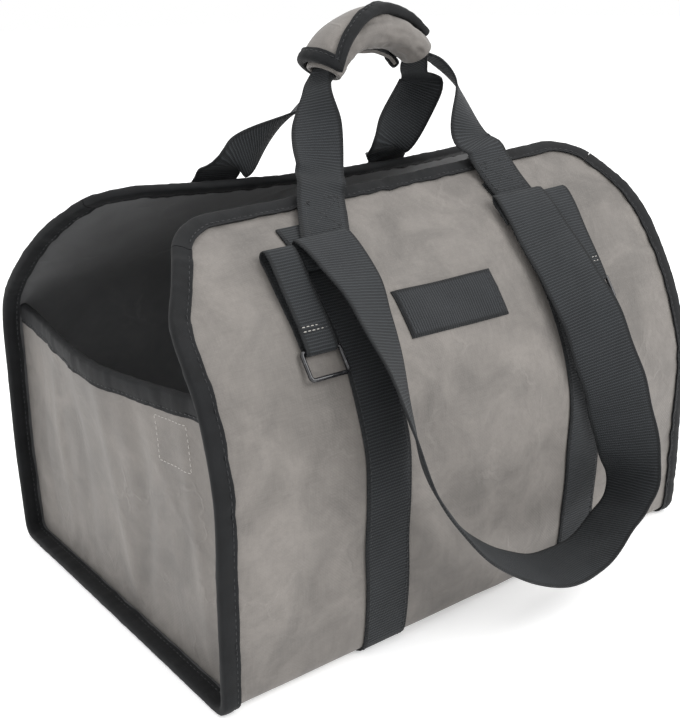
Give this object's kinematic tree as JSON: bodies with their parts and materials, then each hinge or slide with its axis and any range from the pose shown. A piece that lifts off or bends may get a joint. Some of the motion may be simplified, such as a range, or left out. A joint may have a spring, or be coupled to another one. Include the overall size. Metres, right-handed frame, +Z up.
{
  "type": "canvas log carrier",
  "caption": "Open-topped canvas carrier for firewood, with low end panels, leaning flaps, a padded grip, webbing handles and a shoulder strap loop on each side.",
  "frame": {"origin": "on the ground, under the middle of the carrier", "axes": "+X along the carrier from its left end to its right end, +Y from its front to its back, +Z up"},
  "size_m": [0.4642, 0.4682, 0.4326],
  "materials": {
    "canvas": "waxed",
    "webbing": "ribbed",
    "tape": "plain",
    "wire": "gloss"
  },
  "bodies": {
    "root": {"main_panel": "canvas", "left_end_panel": "canvas", "right_end_panel": "canvas", "front_flap_binding": "tape", "back_flap_binding": "tape", "left_side_binding": "tape", "right_side_binding": "tape", "left_end_binding": "tape", "right_end_binding": "tape", "left_band": "webbing", "right_band": "webbing", "front_handle": "webbing", "back_handle": "webbing", "grip_wrap": "canvas", "grip_flap": "canvas", "grip_binding": "tape", "front_shoulder_strap": "webbing", "back_shoulder_strap": "webbing", "left_ring_strap": "webbing", "right_ring_strap": "webbing", "left_ring": "wire", "right_ring": "wire", "corner_tab": "webbing", "corner_wire": "wire", "front_patch": "webbing"}
  },
  "joints": []
}
